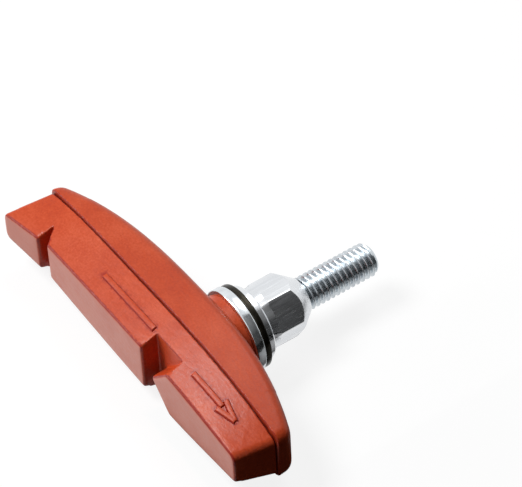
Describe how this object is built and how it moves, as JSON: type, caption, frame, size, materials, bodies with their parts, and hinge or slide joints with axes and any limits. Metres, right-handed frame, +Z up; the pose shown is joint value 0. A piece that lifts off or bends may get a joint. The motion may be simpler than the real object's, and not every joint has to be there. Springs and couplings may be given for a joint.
{
  "type": "bicycle rim brake pad",
  "caption": "Long moulded rubber rim brake pad with a water-shedding plough groove, a wear-line V groove and a threaded steel stud with washers and a flanged nut.",
  "frame": {"origin": "on the stud's axis, in the middle of the free threaded end beyond the nut", "axes": "+Y along the stud from the braking face to the stud's tip, X along the pad with the plough-tipped end at +X, Z up"},
  "size_m": [0.0684, 0.0449, 0.0162],
  "materials": {
    "pad_rubber": "matte moulded, salmon red",
    "plate_steel": "plain sheet, moulded in",
    "zinc_steel": "bright zinc plate",
    "black_steel": "black oxide, oiled"
  },
  "bodies": {
    "pad": {"brake_pad": "pad_rubber", "backing_plate": "plate_steel", "stud": "zinc_steel", "seat_washer": "zinc_steel"},
    "lock_washer": {"lock_washer": "black_steel"},
    "nut": {"flange_nut": "zinc_steel"}
  },
  "joints": [
    {"name": "nut_travel", "type": "slide", "parent": "pad", "child": "lock_washer", "axis": [0, 1, 0], "range_m": [0, 0.01205]},
    {"name": "nut_spin", "type": "hinge", "parent": "lock_washer", "child": "nut", "pos_m": [0, 0, 0], "axis": [0, 1, 0], "range_deg": [0, 4320]}
  ],
  "couplings": [
    {"joint": "nut_travel", "follows": "nut_spin", "m_per_rad": 0.00015915}
  ]
}
